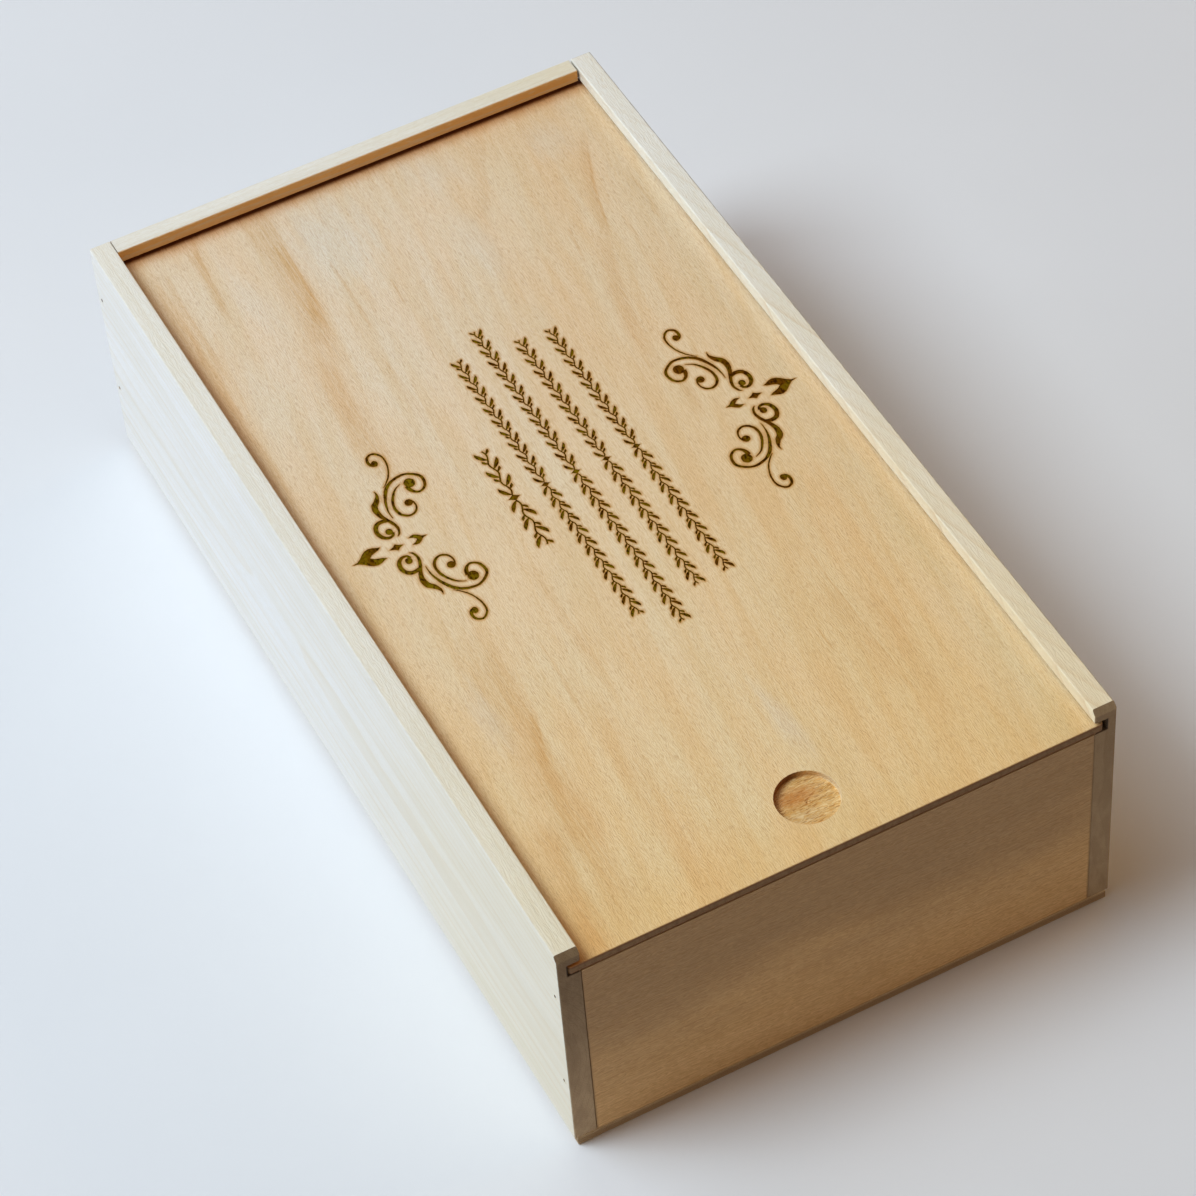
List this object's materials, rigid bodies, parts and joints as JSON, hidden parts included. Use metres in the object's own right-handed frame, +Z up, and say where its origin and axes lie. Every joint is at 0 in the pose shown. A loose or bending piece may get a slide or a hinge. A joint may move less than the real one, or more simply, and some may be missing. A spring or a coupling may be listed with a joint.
{
  "type": "sliding-lid box",
  "caption": "Rectangular wooden keepsake box with a flat lid that slides in grooves, out over a lower front end, with a round finger recess and engraved scrolls.",
  "frame": {"origin": "centre of the underside, on the surface that the box stands on", "axes": "+Z up, +Y from the front end (where the lid comes out) to the back end, +X to the right seen from the front"},
  "size_m": [0.2, 0.36, 0.1],
  "materials": {
    "side_wood": "bare sanded pale wood",
    "front_wood": "bare sawn wood",
    "base_plywood": "bare plywood",
    "lid_plywood": "bare plywood with a fine flecked face",
    "brad_steel": "plain steel wire"
  },
  "bodies": {
    "case": {"left_side": "side_wood", "right_side": "side_wood", "front_panel": "front_wood", "back_panel": "side_wood", "base_panel": "base_plywood", "brad_left_front_low": "brad_steel", "brad_left_front_high": "brad_steel", "brad_left_back_low": "brad_steel", "brad_left_back_high": "brad_steel", "brad_right_front_low": "brad_steel", "brad_right_front_high": "brad_steel", "brad_right_back_low": "brad_steel", "brad_right_back_high": "brad_steel", "base_brad_left_1": "brad_steel", "base_brad_left_2": "brad_steel", "base_brad_left_3": "brad_steel", "base_brad_left_4": "brad_steel", "base_brad_right_1": "brad_steel", "base_brad_right_2": "brad_steel", "base_brad_right_3": "brad_steel", "base_brad_right_4": "brad_steel", "base_brad_front_1": "brad_steel", "base_brad_front_2": "brad_steel", "base_brad_back_1": "brad_steel", "base_brad_back_2": "brad_steel"},
    "lid": {"lid": "lid_plywood"}
  },
  "joints": [
    {"name": "lid_slide", "type": "slide", "parent": "case", "child": "lid", "axis": [0, -1, 0], "range_m": [0, 0.34]}
  ]
}
